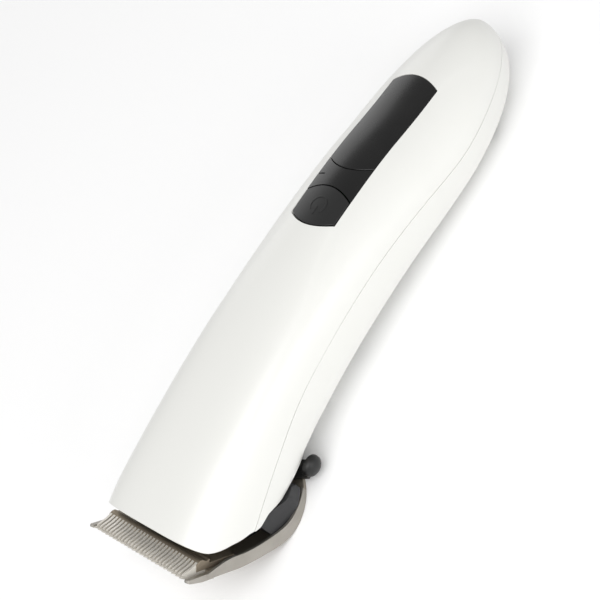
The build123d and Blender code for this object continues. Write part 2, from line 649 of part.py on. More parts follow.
# ------------------------------------------------------------------ blade frame
with BuildPart() as blade_frame:
    with BuildSketch(Plane.YZ):
        with BuildLine():
            inner_side = [
                (29.0, 1.6), (24.6, 2.45), (20.6, 4.8), (18.6, 6.5), (20.2, 11.6), (22.4, 12.4),
                (30.5, 12.4), (37.4, 7.6), (37.4, 1.6),
            ]
            Polyline(*side_points(inner_side), side_points(inner_side)[0])
        make_face()
    extrude(amount=12.5, both=True)
    with BuildSketch(Plane.YZ):
        with BuildLine():
            cheek_side = [
                (29.0, 1.6), (24.6, 2.45), (22.4, 3.75), (22.4, 13.1), (26.1, 12.9), (28.3, 11.5),
                (31.8, 9.1), (36.0, 8.1), (37.4, 6.0), (37.4, 1.6),
            ]
            Polyline(*side_points(cheek_side), side_points(cheek_side)[0])
        make_face()
    extrude(amount=COMB_WIDTH / 2 - COMB_RIM_THICK - 0.1, both=True)
    add(block((-CHANNEL_HALF, 10, 0), (CHANNEL_HALF, 37.5, 30)), mode=Mode.SUBTRACT)
    add(block((-NOTCH_HALF + RUN_GAP, 35.4, 9.2), (NOTCH_HALF - RUN_GAP, 41.6, 11.4)))
    add(block((-NOTCH_HALF + RUN_GAP, 33.0, 7.0), (-CHANNEL_HALF, 41.6, 11.4)))
    add(block((CHANNEL_HALF, 33.0, 7.0), (NOTCH_HALF - RUN_GAP, 41.6, 11.4)))
    with BuildSketch(Plane.YZ):
        with BuildLine():
            tongue_side = [(41.0, 9.2), (41.0, 11.4), (43.2, 11.0), (46.9, 9.9), (45.2, 5.2), (44.0, 7.6)]
            Polyline(*side_points(tongue_side), side_points(tongue_side)[0])
        make_face()
    extrude(amount=NOTCH_HALF - RUN_GAP, both=True)
    knuckle_plane = Plane(
        origin=(-NOTCH_HALF + RUN_GAP, at(HINGE_STATION), HINGE_HEIGHT), z_dir=(1, 0, 0))
    add(Solid.make_cylinder(KNUCKLE_RADIUS, 2 * (NOTCH_HALF - RUN_GAP), knuckle_plane))
    add(Solid.make_cylinder(HINGE_PIN_RADIUS + SHAFT_GAP, 2 * NOTCH_HALF, knuckle_plane), mode=Mode.SUBTRACT)
    add(block((0.0, 31.0, 0.0), (22.0, 48.0, 3.5)), mode=Mode.SUBTRACT)
    add(comb_plan.part, mode=Mode.INTERSECT)
    for screw_x, screw_station in SCREW_SPOTS:
        add(post(0.9, 0, 8.0, screw_x, screw_station), mode=Mode.SUBTRACT)
blade_frame.part.label = "blade_frame"

with BuildPart() as hinge_pin:
    add(Solid.make_cylinder(HINGE_PIN_RADIUS, 2 * NOTCH_HALF + 4.4, pin_plane))
hinge_pin.part.label = "hinge_pin"

with BuildPart() as blade_screws:
    for screw_x, screw_station in SCREW_SPOTS:
        head_plane = Plane(origin=(screw_x, at(screw_station), 0.05))
        add(Solid.make_cone(2.2, 0.9, 1.2, head_plane))
        add(post(0.9, 1.2, 6.6, screw_x, screw_station))
        add(block((screw_x - 1.6, screw_station - 0.2, 0), (screw_x + 1.6, screw_station + 0.2, 0.55)),
            mode=Mode.SUBTRACT)
blade_screws.part.label = "blade_screws"

with BuildPart() as lever_rivet:
    add(post(1.5, 0.0, 3.4, 0, LEVER_STATION))
    add(post(2.7, 3.4, 0.7, 0, LEVER_STATION))
lever_rivet.part.label = "lever_rivet"

# ------------------------------------------------------------------ adjusting lever
LEVER_BASE = 1.9
LEVER_THICK = 1.2
CRANK_X = LEVER_CRANK * cos(radians(LEVER_CRANK_ANGLE))
CRANK_Y = LEVER_CRANK * sin(radians(LEVER_CRANK_ANGLE))
with BuildPart() as adjust_lever:
    with BuildSketch(Plane.XY.offset(LEVER_BASE)):
        with Locations((0, at(LEVER_STATION))):
            Circle(3.6)
        with Locations((CRANK_X, at(LEVER_STATION) + CRANK_Y)):
            Circle(2.2)
        with BuildLine():
            Polyline(
                (1.5, at(LEVER_STATION - 3.0)), (16.9, at(41.0)), (16.9, at(46.4)),
                (-1.5, at(LEVER_STATION + 3.2)), (1.5, at(LEVER_STATION - 3.0)),
            )
        make_face()
    extrude(amount=LEVER_THICK)
    add(post(1.5 + SHAFT_GAP, 0, 6, 0, LEVER_STATION), mode=Mode.SUBTRACT)
adjust_lever.part.label = "adjust_lever"

with BuildPart() as crank_pin:
    crank_plane = Plane(origin=(CRANK_X, at(LEVER_STATION) + CRANK_Y, LEVER_BASE + LEVER_THICK))
    add(Solid.make_cylinder(1.2, 5.6, crank_plane))
crank_pin.part.label = "crank_pin"

with BuildPart() as lever_grip:
    with BuildSketch(Plane.XY.offset(1.7)):
        with BuildLine():
            Polyline(
                (16.9, at(40.9)), (18.5, at(41.6)), (19.3, at(44.5)), (19.1, at(47.0)), (17.6, at(48.3)),
                (16.9, at(46.8)), (16.9, at(40.9)),
            )
        make_face()
    extrude(amount=6.1)
    for groove in range(5):
        groove_station = 42.3 + groove * 1.25
        add(block((18.9, groove_station, 0), (21.0, groove_station + 0.55, 9)), mode=Mode.SUBTRACT)
lever_grip.part.label = "lever_grip"

# ------------------------------------------------------------------ housing screws
with BuildPart() as shell_screws:
    for boss_x, boss_station in BOSSES:
        seat = 8.0 - 1.2 * (boss_station > 100) - 1.0
        add(post(1.9, seat - 1.5, 1.5, boss_x, boss_station))
        add(post(0.9, seat, BOSS_TOP - 3.0 - seat, boss_x, boss_station))
shell_screws.part.label = "shell_screws"

# ------------------------------------------------------------------ files
os.makedirs("parts", exist_ok=True)
export_step(top_shell.part, "parts/top_shell.step")
export_step(bottom_shell.part, "parts/bottom_shell.step")
export_step(power_button.part, "parts/power_button.step")
export_step(middle_panel.part, "parts/middle_panel.step")
export_step(upper_panel.part, "parts/upper_panel.step")
export_step(indicator_light.part, "parts/indicator_light.step")
export_step(circuit_board.part, "parts/circuit_board.step")
export_step(tact_switch.part, "parts/tact_switch.step")
export_step(indicator_led.part, "parts/indicator_led.step")
export_step(board_chip.part, "parts/board_chip.step")
export_step(battery_cell.part, "parts/battery_cell.step")
export_step(battery_cradle.part, "parts/battery_cradle.step")
export_step(battery_tabs.part, "parts/battery_tabs.step")
export_step(motor_leads.part, "parts/motor_leads.step")
export_step(socket_ring.part, "parts/socket_ring.step")
export_step(socket_body.part, "parts/socket_body.step")
export_step(socket_pin.part, "parts/socket_pin.step")
export_step(socket_contact.part, "parts/socket_contact.step")
export_step(motor_can.part, "parts/motor_can.step")
export_step(motor_bush.part, "parts/motor_bush.step")
export_step(motor_endcap.part, "parts/motor_endcap.step")
export_step(motor_terminals.part, "parts/motor_terminals.step")
export_step(motor_mount.part, "parts/motor_mount.step")
export_step(motor_armature.part, "parts/motor_armature.step")
export_step(motor_shaft.part, "parts/motor_shaft.step")
export_step(drive_cam.part, "parts/drive_cam.step")
export_step(drive_pin.part, "parts/drive_pin.step")
export_step(comb_blade.part, "parts/comb_blade.step")
export_step(cutter_blade.part, "parts/cutter_blade.step")
export_step(drive_block.part, "parts/drive_block.step")
export_step(adjust_carriage.part, "parts/adjust_carriage.step")
export_step(pressure_spring.part, "parts/pressure_spring.step")
export_step(spring_rivets.part, "parts/spring_rivets.step")
export_step(blade_frame.part, "parts/blade_frame.step")
export_step(hinge_pin.part, "parts/hinge_pin.step")
export_step(blade_screws.part, "parts/blade_screws.step")
export_step(lever_rivet.part, "parts/lever_rivet.step")
export_step(adjust_lever.part, "parts/adjust_lever.step")
export_step(crank_pin.part, "parts/crank_pin.step")
export_step(lever_grip.part, "parts/lever_grip.step")
export_step(shell_screws.part, "parts/shell_screws.step")
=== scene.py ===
"""Finished look of a cordless animal hair clipper, built round its CAD frame."""

import math

import bpy
import numpy as np
from mathutils import Matrix, Vector


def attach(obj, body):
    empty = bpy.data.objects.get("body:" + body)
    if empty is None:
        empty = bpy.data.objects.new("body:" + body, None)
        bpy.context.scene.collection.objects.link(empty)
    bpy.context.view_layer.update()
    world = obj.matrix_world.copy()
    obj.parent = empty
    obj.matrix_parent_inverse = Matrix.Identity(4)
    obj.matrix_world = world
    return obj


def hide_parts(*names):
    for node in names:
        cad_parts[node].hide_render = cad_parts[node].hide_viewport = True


bl_info = {
    "name": "Animal Hair Clipper",
    "version": (1, 0, 0),
    "blender": (4, 5, 0),
    "location": "3D View > Sidebar > Clipper",
    "description": "Builds the shells, panel, blades and finishes of a cordless animal hair clipper",
    "category": "Object",
}

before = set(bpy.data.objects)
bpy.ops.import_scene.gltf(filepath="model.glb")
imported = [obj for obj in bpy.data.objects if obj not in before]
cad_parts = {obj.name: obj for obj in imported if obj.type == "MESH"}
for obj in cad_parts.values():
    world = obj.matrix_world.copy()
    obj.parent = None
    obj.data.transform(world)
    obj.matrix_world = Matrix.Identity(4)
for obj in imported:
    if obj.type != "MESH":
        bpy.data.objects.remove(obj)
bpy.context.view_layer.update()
MM = 0.001
HALF_LENGTH = 90.0

# ------------------------------------------------------------------ body shape, millimetres
# Station from the tooth tips, half width, crown, keel, powers of the upper and lower quarters.
SECTIONS = np.array([
    (3.0, 21.3, 30.6, 5.6, 4.0, 3.2),
    (14.0, 21.1, 33.1, 5.0, 4.0, 3.2),
    (26.0, 20.3, 35.2, 4.0, 3.7, 3.1),
    (40.0, 19.4, 36.7, 3.3, 3.5, 3.1),
    (56.0, 18.5, 37.9, 4.1, 3.2, 2.9),
    (72.0, 18.2, 38.5, 4.6, 2.77, 2.8),
    (90.0, 18.2, 38.6, 4.1, 2.3, 2.7),
    (108.0, 18.4, 37.8, 2.9, 2.06, 2.6),
    (125.0, 18.8, 35.85, 1.2, 1.96, 2.5),
    (141.0, 18.9, 32.7, 0.2, 1.95, 2.4),
    (160.0, 18.9, 29.85, 0.02, 1.95, 2.4),
    (181.0, 18.9, 26.7, 0.0, 1.95, 2.4),
])
# Station and height of the line where the two shells meet.
SEAM = np.array([
    (2.0, 10.6), (19.5, 15.2), (37.5, 20.2), (54.5, 24.0), (74.0, 25.4), (100.0, 24.6),
    (118.5, 21.9), (136.5, 18.3), (155.5, 17.0), (181.0, 15.6),
])
TAIL_END = 180.0
# Where the width and the height start to close towards the tail, and the powers of their curves.
WIDTH_CLOSES = 136.7
WIDTH_POWER = 1.91
HEIGHT_CLOSES = 146.6
HEIGHT_POWER = 3.1
# Station and height along the blade bay's edge, from the crown down to the keel.
BAY = np.array([
    (7.1, 40.0), (7.1, 31.4), (7.5, 30.0), (7.9, 28.6), (8.3, 27.4), (8.9, 26.1), (9.9, 24.8), (11.1, 23.5),
    (12.5, 22.2), (14.1, 20.9), (15.6, 19.4), (17.2, 18.0), (19.1, 16.7), (20.7, 15.1), (22.4, 13.85),
    (26.3, 13.4), (28.6, 12.0), (32.0, 9.6), (36.4, 8.6), (40.0, 3.4), (41.0, 2.0),
])
# Half width of the top panel, and corner and apex stations of the arcs across it.
PANEL_HALF = 8.35
PANEL_FRONT = (100.5, 98.0)
BUTTON_REAR = (108.4, 110.9)
MIDDLE_REAR = (120.0, 117.3)
PANEL_REAR = (150.0, 152.5)
# Station and distance from the middle of the style line beside the panel.
CREASE = np.array([
    (50.0, 20.5), (62.0, 17.4), (70.0, 15.2), (80.0, 12.3), (90.0, 9.8), (100.0, 8.45), (125.0, 8.35),
    (150.0, 8.55), (160.0, 10.6), (168.0, 12.2),
])
WALL = 2.0
SEAM_GAP = 0.2
BLADE_ANGLE = math.radians(52.0)
TIP_HEIGHT = 28.5


def through(table, column, x):
    """Smooth curve through a table's points: cubic Hermite pieces with central-difference slopes."""
    xs = table[:, 0]
    ys = table[:, column]
    slopes = np.gradient(ys, xs)
    i = np.clip(np.searchsorted(xs, x) - 1, 0, len(xs) - 2)
    h = xs[i + 1] - xs[i]
    t = np.clip((x - xs[i]) / h, 0.0, 1.0)
    return (
        (1 + 2 * t) * (1 - t) ** 2 * ys[i]
        + t * (1 - t) ** 2 * h * slopes[i]
        + t * t * (3 - 2 * t) * ys[i + 1]
        + t * t * (t - 1) * h * slopes[i + 1]
    )


def hull(station, turn, upper, inset=0.0):
    """Point of the housing skin.

    turn is 0 at the seam and 1 at the crown or keel.  Each quarter of a section is a Bezier curve
    whose handles are (8 / 2^(1/p) - 4) / 3 of its size, which is a superellipse of power p.  Past
    137 mm the width, and past 147 mm the height, close to the tail end by a superellipse in station.
    """
    width = through(SECTIONS, 1, station) - inset
    seam = through(SEAM, 1, station)
    end = TAIL_END - inset
    across = np.clip((station - WIDTH_CLOSES) / (end - WIDTH_CLOSES), 0.0, 1.0)
    width = width * (1 - across ** WIDTH_POWER) ** (1 / WIDTH_POWER)
    upright = np.clip((station - HEIGHT_CLOSES) / (end - HEIGHT_CLOSES), 0.0, 1.0)
    shrink = (1 - upright ** HEIGHT_POWER) ** (1 / HEIGHT_POWER)
    if upper:
        rise = (through(SECTIONS, 2, station) - inset - seam) * shrink
        power = through(SECTIONS, 4, station)
    else:
        rise = (through(SECTIONS, 3, station) + inset - seam) * shrink
        power = through(SECTIONS, 5, station)
    pull = (8 * 2 ** (-1 / power) - 4) / 3
    back = 1 - turn
    x = width * (back ** 3 + 3 * back ** 2 * turn + 3 * pull * back * turn ** 2)
    z = seam + rise * (3 * pull * back ** 2 * turn + 3 * back * turn ** 2 + turn ** 3)
    return x, z


def turn_at(station, x, upper=True, inset=0.0):
    """Turn of the skin point at a given distance x from the middle, by repeated halving."""
    low = np.zeros(np.broadcast(station, x).shape)
    high = np.ones_like(low)
    for _ in range(36):
        middle = (low + high) / 2
        reach, _ = hull(station, middle, upper, inset)
        wide = reach > np.abs(x)
        low = np.where(wide, middle, low)
        high = np.where(wide, high, middle)
    return (low + high) / 2


def crown_height(x, station):
    """Height of the top skin over a plan point."""
    return hull(station, turn_at(station, x), True)[1]


def along(run, lift):
    """Station and height of a point given along the blade plane and off it."""
    return (
        run * math.cos(BLADE_ANGLE) + lift * math.sin(BLADE_ANGLE),
        TIP_HEIGHT - run * math.sin(BLADE_ANGLE) + lift * math.cos(BLADE_ANGLE),
    )


# ------------------------------------------------------------------ mesh helpers
def grid_quads(rows, columns):
    """Quads of a grid of points stored row by row."""
    i, j = np.meshgrid(np.arange(rows - 1), np.arange(columns - 1), indexing="ij")
    a = (i * columns + j).ravel()
    return np.stack([a, a + 1, a + columns + 1, a + columns], axis=1)


def walled(outer, inner, quads):
    """Closed wall between two like grids: both skins, and a strip along every open edge."""
    count = len(outer)
    edges = np.concatenate([quads[:, [k, (k + 1) % 4]] for k in range(4)])
    key = np.sort(edges, axis=1)
    _, index, times = np.unique(key, axis=0, return_index=True, return_counts=True)
    rim = edges[index[times == 1]]
    strip = np.stack([rim[:, 1], rim[:, 0], rim[:, 0] + count, rim[:, 1] + count], axis=1)
    faces = np.concatenate([quads, quads[:, ::-1] + count, strip])
    return np.concatenate([outer, inner]), faces


def signed_volume(points, faces):
    """Volume inside the faces, negative where they point inwards."""
    total = 0.0
    for k in range(1, faces.shape[1] - 1):
        a, b, c = points[faces[:, 0]], points[faces[:, k]], points[faces[:, k + 1]]
        total += np.einsum("ij,ij->i", a, np.cross(b, c)).sum()
    return total / 6


def piece(name, points, faces, finish, body):
    """Mesh object from points in millimetres (x, station, z) and equal-sided faces, facing outwards."""
    points = np.asarray(points, dtype=float).reshape(-1, 3)
    faces = np.asarray(faces)
    if signed_volume(points, faces) < 0:
        faces = faces[:, ::-1]
    places = (points - (0.0, HALF_LENGTH, 0.0)) * MM
    mesh = bpy.data.meshes.new(name)
    mesh.from_pydata(places.tolist(), [], faces.tolist())
    mesh.polygons.foreach_set("use_smooth", np.full(len(mesh.polygons), True))
    mesh.validate()
    obj = bpy.data.objects.new(name, mesh)
    bpy.context.scene.collection.objects.link(obj)
    dress(obj, finish)
    if body:
        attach(obj, body)
    return obj


def dress(obj, finish):
    """Gives a new piece its material."""
    obj.data.materials.append(FINISHES[finish])


def weld(obj, distance=0.00001):
    """Joins points that lie in one place."""
    change = obj.modifiers.new("weld", "WELD")
    change.merge_threshold = distance
    return obj


def bevel(obj, width, segments=2, angle=32.0):
    """Rounds the sharp edges; width in millimetres."""
    change = obj.modifiers.new("edges", "BEVEL")
    change.width = width * MM
    change.segments = segments
    change.limit_method = "ANGLE"
    change.angle_limit = math.radians(angle)
    change.harden_normals = True
    change.use_clamp_overlap = True
    return obj


def sharpen(obj, angle=40.0):
    """Splits the shading at edges sharper than the angle."""
    obj.data.set_sharp_from_angle(angle=math.radians(angle))
    return obj


def cut_by(obj, cutters):
    """Takes the cutters' volume out of obj and removes the cutters."""
    for cutter in cutters:
        change = obj.modifiers.new("cut", "BOOLEAN")
        change.operation = "DIFFERENCE"
        change.solver = "EXACT"
        change.object = cutter
    depsgraph = bpy.context.evaluated_depsgraph_get()
    mesh = bpy.data.meshes.new_from_object(obj.evaluated_get(depsgraph))
    obj.modifiers.clear()
    obj.data = mesh
    for cutter in cutters:
        bpy.data.objects.remove(cutter, do_unlink=True)
    return obj


def prism(name, outline, low, high, finish, body=None, across=False):
    """Straight prism over an outline: upright between two heights, or across X between two distances."""
    outline = np.asarray(outline, dtype=float)
    count = len(outline)
    ends = []
    for level in (low, high):
        fill = np.full(count, level)
        if across:
            ends.append(np.stack([fill, outline[:, 0], outline[:, 1]], axis=1))
        else:
            ends.append(np.stack([outline[:, 0], outline[:, 1], fill], axis=1))
    points = np.concatenate(ends)
    k = np.arange(count)
    sides = np.stack([k, (k + 1) % count, (k + 1) % count + count, k + count], axis=1).tolist()
    faces = [*sides, k[::-1].tolist(), (k + count).tolist()]
    places = (points - (0.0, HALF_LENGTH, 0.0)) * MM
    mesh = bpy.data.meshes.new(name)
    mesh.from_pydata(places.tolist(), [], faces)
    triangles = np.array([
        (f[0], f[n], f[n + 1]) for f in faces for n in range(1, len(f) - 1)
    ])
    if signed_volume(points, triangles) < 0:
        mesh.flip_normals()
    obj = bpy.data.objects.new(name, mesh)
    bpy.context.scene.collection.objects.link(obj)
    if finish:
        dress(obj, finish)
    if body:
        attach(obj, body)
    return obj


def disc(x, station, radius, count=48):
    """Outline of a circle in plan."""
    a = np.linspace(0, 2 * np.pi, count, endpoint=False)
    return np.stack([x + radius * np.cos(a), station + radius * np.sin(a)], axis=1)


# ------------------------------------------------------------------ materials
def linear(hex_colour):
    """sRGB hex colour as linear red, green, blue and alpha."""
    parts = [int(hex_colour[i:i + 2], 16) / 255 for i in (1, 3, 5)]
    return (*[c / 12.92 if c <= 0.04045 else ((c + 0.055) / 1.055) ** 2.4 for c in parts], 1.0)


def add(tree, kind, settings=None, links=None):
    """A shader node with its settings and its incoming links, given by socket name or number."""
    made = tree.nodes.new(kind)
    for key, value in (settings or {}).items():
        if isinstance(key, int) or key in made.inputs:
            made.inputs[key].default_value = value
        else:
            setattr(made, key, value)
    for key, source in (links or {}).items():
        tree.links.new(source, made.inputs[key])
    return made


def finish_of(name, colour, surface, grain_mm, grain_depth_mm, spread, wear="#000000", wear_amount=0.0,
              stretch=(1, 1, 1)):
    """Principled material with a noise-driven tint, roughness and fine bump on Object coordinates."""
    made = bpy.data.materials.new(name)
    made.use_nodes = True
    tree = made.node_tree
    tree.nodes.clear()
    out = add(tree, "ShaderNodeOutputMaterial")
    place = add(tree, "ShaderNodeTexCoord")
    lie = add(tree, "ShaderNodeMapping", {"Scale": stretch}, {"Vector": place.outputs["Object"]})
    grain = add(tree, "ShaderNodeTexNoise", {"Scale": 1 / (grain_mm * MM), "Detail": 3.0, "Roughness": 0.6},
                {"Vector": lie.outputs["Vector"]})
    patch = add(tree, "ShaderNodeTexNoise", {"Scale": 1 / (22 * MM), "Detail": 4.0, "Roughness": 0.65},
                {"Vector": place.outputs["Object"]})
    tint = add(tree, "ShaderNodeMapRange",
               {"From Min": 0.45, "From Max": 0.75, "To Min": 0.0, "To Max": wear_amount},
               {"Value": patch.outputs["Fac"]})
    mix = add(tree, "ShaderNodeMix", {"data_type": "RGBA", 6: colour, 7: linear(wear)},
              {0: tint.outputs["Result"]})
    rough = add(tree, "ShaderNodeMapRange",
                {"From Min": 0.3, "From Max": 0.7, "To Min": surface["Roughness"] - spread,
                 "To Max": surface["Roughness"] + spread}, {"Value": patch.outputs["Fac"]})
    bump = add(tree, "ShaderNodeBump", {"Strength": 0.6, "Distance": grain_depth_mm * MM},
               {"Height": grain.outputs["Fac"]})
    shell = add(tree, "ShaderNodeBsdfPrincipled",
                {key: value for key, value in surface.items() if key != "Roughness"},
                {"Base Color": mix.outputs[2], "Roughness": rough.outputs["Result"],
                 "Normal": bump.outputs["Normal"]})
    tree.links.new(shell.outputs["BSDF"], out.inputs["Surface"])
    return made


class ClipperColours(bpy.types.PropertyGroup):
    """Colours of the clipper's plastics."""

    housing: bpy.props.FloatVectorProperty(
        name="Housing", description="Colour of the moulded housing shells", subtype="COLOR",
        size=4, default=linear("#E4E4E0"), min=0, max=1)


class ClipperSizes(bpy.types.PropertyGroup):
    """Small sizes of the clipper that the frame leaves open."""

    edge: bpy.props.FloatProperty(
        name="Shell edge", description="Rounding of the moulded shells' edges", unit="LENGTH",
        default=0.0002, min=0.00005, max=0.0005)


# ------------------------------------------------------------------ material set
FINISHES = {}


def make_finishes():
    """All materials of the clipper, by short name."""
    # White ABS from a fine-textured tool: soft even gloss that keeps the body's highlights broad.
    housing = bpy.context.scene.clipper_colours.housing
    FINISHES["housing"] = finish_of(
        "moulded white ABS", tuple(housing), {"Roughness": 0.30, "IOR": 1.5, "Specular IOR Level": 0.5},
        0.5, 0.003, 0.01, "#E2E2DE", 0.1)
    # Black acrylic: a deep base with a wide soft reflection, so that the panel reads as one glossy window.
    FINISHES["panel"] = finish_of(
        "moulded black PMMA", linear("#111111"),
        {"Roughness": 0.27, "IOR": 1.49, "Specular IOR Level": 0.45},
        0.4, 0.003, 0.03, "#201F1E", 0.5)
    # Satin black ABS: duller than the panel round it, so that the key stands out from the window.
    FINISHES["button"] = finish_of(
        "moulded black ABS satin", linear("#191919"), {"Roughness": 0.42, "IOR": 1.5},
        0.35, 0.006, 0.04, "#292929", 0.5)
    # Dark grey glass-filled ABS: dull with a fine grain, which sets the blade set off from the white shells.
    FINISHES["frame"] = finish_of(
        "moulded grey ABS", linear("#1D1D1F"),
        {"Roughness": 0.55, "IOR": 1.5}, 0.3, 0.01, 0.05, "#3C3C3E", 0.4)
    # Dark acetal: a slightly waxy, softer gloss where a thumb rubs the lever.
    FINISHES["lever"] = finish_of(
        "moulded dark acetal", linear("#151515"),
        {"Roughness": 0.42, "IOR": 1.48}, 0.3, 0.008, 0.05, "#2A2A29", 0.4)
    # Ground tool steel: warm grey with grinding lines along the comb.
    FINISHES["steel"] = finish_of(
        "ground tool steel", linear("#A39B8F"), {"Roughness": 0.48, "Metallic": 0.9}, 0.25, 0.006, 0.06,
        "#857C70", 0.3, (1.0, 0.12, 0.12))
    # Rim steel: a cooler, darker copy of the tooth steel, painted shade for the band under the dark frame.
    FINISHES["rim"] = finish_of(
        "rim steel with painted shade", linear("#ABA7A0"), {"Roughness": 0.44, "Metallic": 0.9}, 0.25, 0.006, 0.06,
        "#89837A", 0.45, (0.12, 1.0, 1.0))
    # Tooth steel: a paler, less metallic copy of the comb steel, painted highlight for the light the teeth's
    # rounded ridges catch, so that each tooth shows pale against its gap.
    FINISHES["fins"] = finish_of(
        "tooth steel with painted highlight", linear("#DBD7CF"), {"Roughness": 0.46, "Metallic": 0.5}, 0.2, 0.005, 0.06,
        "#B3ADA2", 0.45)
    # Cutter steel: a browner, darker copy of the comb steel, painted shade and painted reflection of the
    # dark underside of the lip that overhangs the cutter.
    FINISHES["cutter"] = finish_of(
        "cutter steel with painted shade", linear("#978C7C"), {"Roughness": 0.5, "Metallic": 0.85}, 0.25, 0.006, 0.06,
        "#6B6153", 0.45, (0.12, 1.0, 1.0))
    # Bright zinc plate: cool small highlights on pins and screws.
    FINISHES["plated"] = finish_of(
        "zinc plated steel", linear("#C4C6C8"),
        {"Roughness": 0.3, "Metallic": 1.0}, 0.4, 0.004, 0.06, "#A5A7A8", 0.4)
    # Turned brass: a warm glint at the bush and the terminals.
    FINISHES["brass"] = finish_of(
        "turned brass", linear("#D8B46A"),
        {"Roughness": 0.28, "Metallic": 1.0}, 0.4, 0.004, 0.05, "#A98543", 0.4)
    # Rolled nickel strip: warmer and softer than the zinc.
    FINISHES["nickel"] = finish_of(
        "rolled nickel strip", linear("#C9C4B8"), {"Roughness": 0.3, "Metallic": 1.0}, 0.4, 0.004, 0.05,
        "#A59F90", 0.4)
    # Solder mask over glass epoxy: green with a slight weave under the gloss.
    FINISHES["board"] = finish_of(
        "solder-masked glass epoxy", linear("#1F5B34"), {"Roughness": 0.35, "IOR": 1.5}, 0.8, 0.01, 0.05,
        "#174526", 0.5)
    # Shrunk PVC sleeve: thin glossy skin with a faint unevenness from the heat.
    FINISHES["sleeve"] = finish_of(
        "heat-shrink PVC sleeve", linear("#1D5FA8"), {"Roughness": 0.3, "IOR": 1.53}, 0.6, 0.01, 0.05,
        "#174C88", 0.5)
    # Natural nylon: milky off-white of an unpigmented moulding.
    FINISHES["nylon"] = finish_of(
        "natural nylon", linear("#D9D6CA"), {"Roughness": 0.5, "IOR": 1.53}, 0.5, 0.01, 0.05, "#C6C2B2", 0.5)
    # Black acetal: low gloss of small machined-looking mouldings.
    FINISHES["acetal"] = finish_of(
        "moulded black acetal", linear("#1C1C1D"), {"Roughness": 0.4, "IOR": 1.48}, 0.4, 0.006, 0.05,
        "#2A2A2B", 0.5)
    # Smoked lens: nearly black when unlit, with a sharp small glint.
    FINISHES["lens"] = finish_of(
        "moulded smoked lens", linear("#0E0E0E"), {"Roughness": 0.2, "IOR": 1.49}, 0.4, 0.002, 0.03,
        "#1A1A1A", 0.3)
    # Cast epoxy lamp: cloudy warm white.
    FINISHES["lamp"] = finish_of(
        "cast epoxy lamp", linear("#E6E3D5"),
        {"Roughness": 0.3, "IOR": 1.5}, 0.4, 0.004, 0.03, "#D3CFBF", 0.3)
    # Drawn PVC insulation: plain red with a soft sheen along the wire.
    FINISHES["wire"] = finish_of(
        "drawn PVC wire", linear("#A32222"),
        {"Roughness": 0.4, "IOR": 1.52}, 0.5, 0.006, 0.05, "#7F1A1A", 0.5)


NODE_FINISHES = {
    "circuit_board": "board", "tact_switch": "acetal", "indicator_led": "lamp", "board_chip": "acetal",
    "battery_cell": "sleeve", "battery_cradle": "frame", "battery_tabs": "nickel", "motor_leads": "wire",
    "socket_ring": "acetal", "socket_body": "acetal", "socket_pin": "nickel", "socket_contact": "nickel",
    "motor_can": "plated", "motor_bush": "brass", "motor_endcap": "nylon", "motor_terminals": "brass",
    "motor_mount": "frame", "hinge_pin": "plated", "shell_screws": "plated", "motor_armature": "plated",
    "motor_shaft": "plated", "drive_cam": "acetal", "drive_pin": "plated", "comb_blade": "steel",
    "blade_frame": "frame", "blade_screws": "plated", "lever_rivet": "plated", "adjust_carriage": "cutter",
    "pressure_spring": "steel", "spring_rivets": "plated", "cutter_blade": "cutter", "drive_block": "acetal",
    "adjust_lever": "lever", "crank_pin": "plated", "lever_grip": "lever", "indicator_light": "lens",
    "top_shell": "housing", "bottom_shell": "housing", "upper_panel": "panel", "middle_panel": "panel",
    "power_button": "button",
}


# ------------------------------------------------------------------ shells
def bay_station(height):
    """Station of the blade bay's edge at a height."""
    edge = BAY[::-1][:, [1, 0]]
    return np.interp(height, edge[:, 0], edge[:, 1])


def front_edge(turn, upper):
    """Station where a line of constant turn leaves the shell, by settling station and height together."""
    station = np.full_like(turn, 12.0)
    for _ in range(60):
        _, z = hull(station, turn, upper)
        station = station + 0.5 * (bay_station(z) - station)
    return station


def crease_depth(x, station):
    """Drop of the skin outside the style line, in millimetres.

    A soft step at the line, fading out sideways over a few millimetres and lengthways at both ends.
    """
    line = through(CREASE, 1, np.clip(station, 50.0, 168.0))
    past = (np.abs(x) - line) / 0.45
    step = 1 / (1 + np.exp(-np.clip(past, -30, 30)))
    aside = np.exp(-np.clip(np.abs(x) - line, 0.0, None) / 5.0)
    fade = np.clip((station - 56.0) / 16.0, 0, 1) * np.clip((172.0 - station) / 12.0, 0, 1)
    return 0.22 * step * aside * fade


